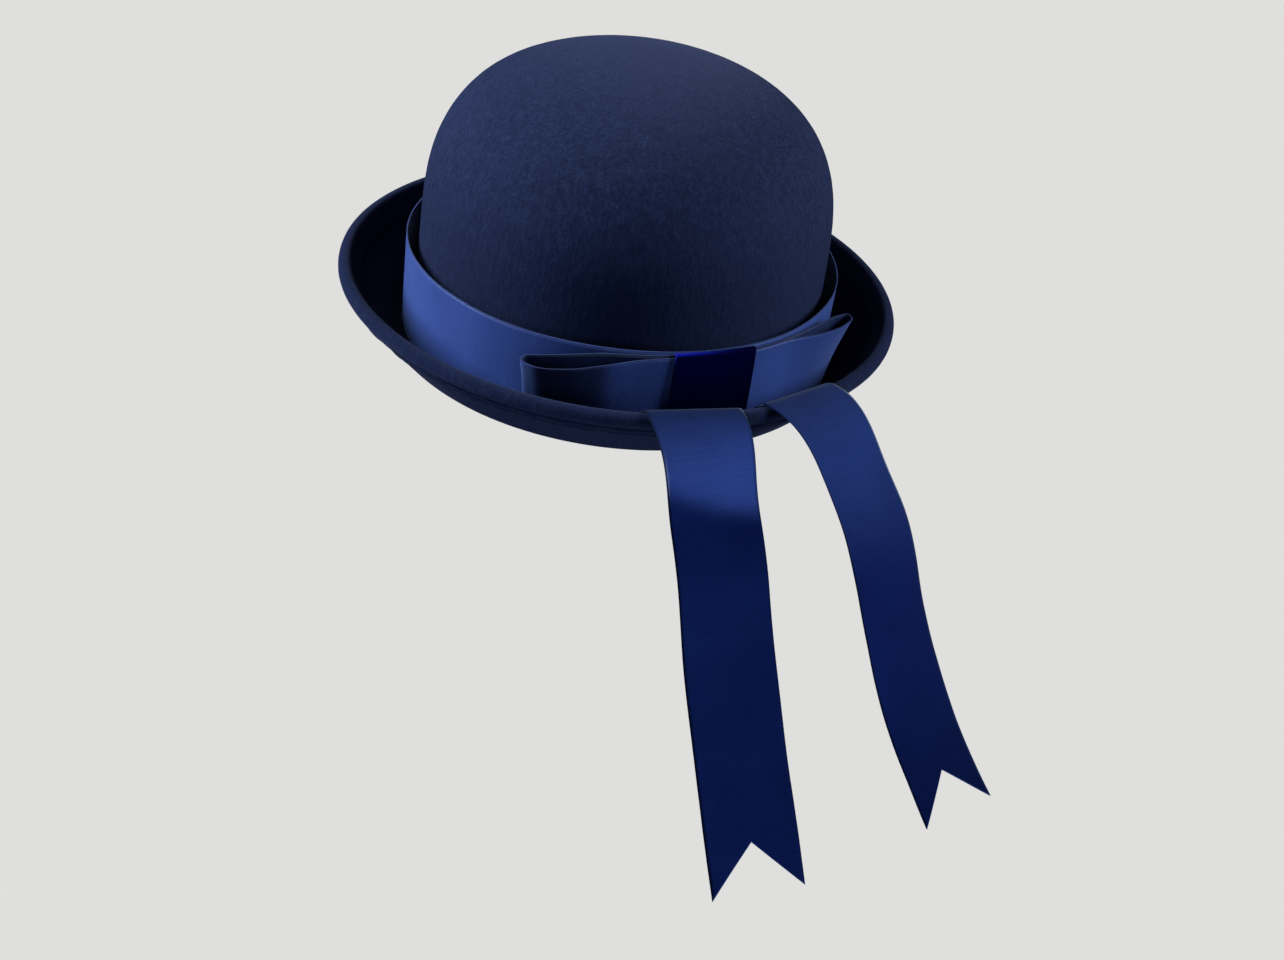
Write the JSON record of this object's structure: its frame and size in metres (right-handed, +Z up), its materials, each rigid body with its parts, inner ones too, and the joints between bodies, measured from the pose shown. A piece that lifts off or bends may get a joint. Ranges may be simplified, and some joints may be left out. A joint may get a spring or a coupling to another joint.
{
  "type": "bowler hat",
  "caption": "Felt bowler hat with a domed crown, rolled turned-up brim, standing ribbon band, flat bow and ribbon tails hanging from the back.",
  "frame": {"origin": "centre of the head opening, in the plane of the brim's lowest face, where the hat sits on the head", "axes": "+Z up through the crown as the hat is worn; -Y to the back, where the bow and tails are; +X to the wearer's right as seen from behind; the head oval's long axis along Y"},
  "size_m": [0.2841, 0.3614, 0.2408],
  "materials": {
    "felt": "matt navy wool felt",
    "ribbon": "navy ribbon with a fine cross rib and a soft sheen",
    "sweatband_ribbon": "dark ribbed ribbon",
    "thread": "matt sewing thread",
    "label": "blank woven label",
    "wire": "plain drawn steel"
  },
  "bodies": {
    "root": {"felt_body": "felt", "brim_wire": "wire", "wire_joiner": "wire", "hem_thread_upper": "thread", "hem_thread_lower": "thread", "sweatband": "sweatband_ribbon", "sweatband_thread": "thread", "size_label": "label", "hat_band": "ribbon", "bow_knot": "ribbon", "bow_loops": "ribbon", "tail_left_root": "ribbon", "tail_right_root": "ribbon"},
    "tail_left": {"tail_left": "ribbon"},
    "tail_right": {"tail_right": "ribbon"}
  },
  "joints": [
    {"name": "left_tail_swing", "type": "hinge", "parent": "root", "child": "tail_left", "pos_m": [0.03763, -0.13372, 0.0245], "axis": [-0.8704, -0.4924, 0], "range_deg": [-35, 90]},
    {"name": "right_tail_swing", "type": "hinge", "parent": "root", "child": "tail_right", "pos_m": [0.08152, -0.10532, 0.027], "axis": [-0.6494, -0.7604, 0], "range_deg": [-35, 90]}
  ]
}
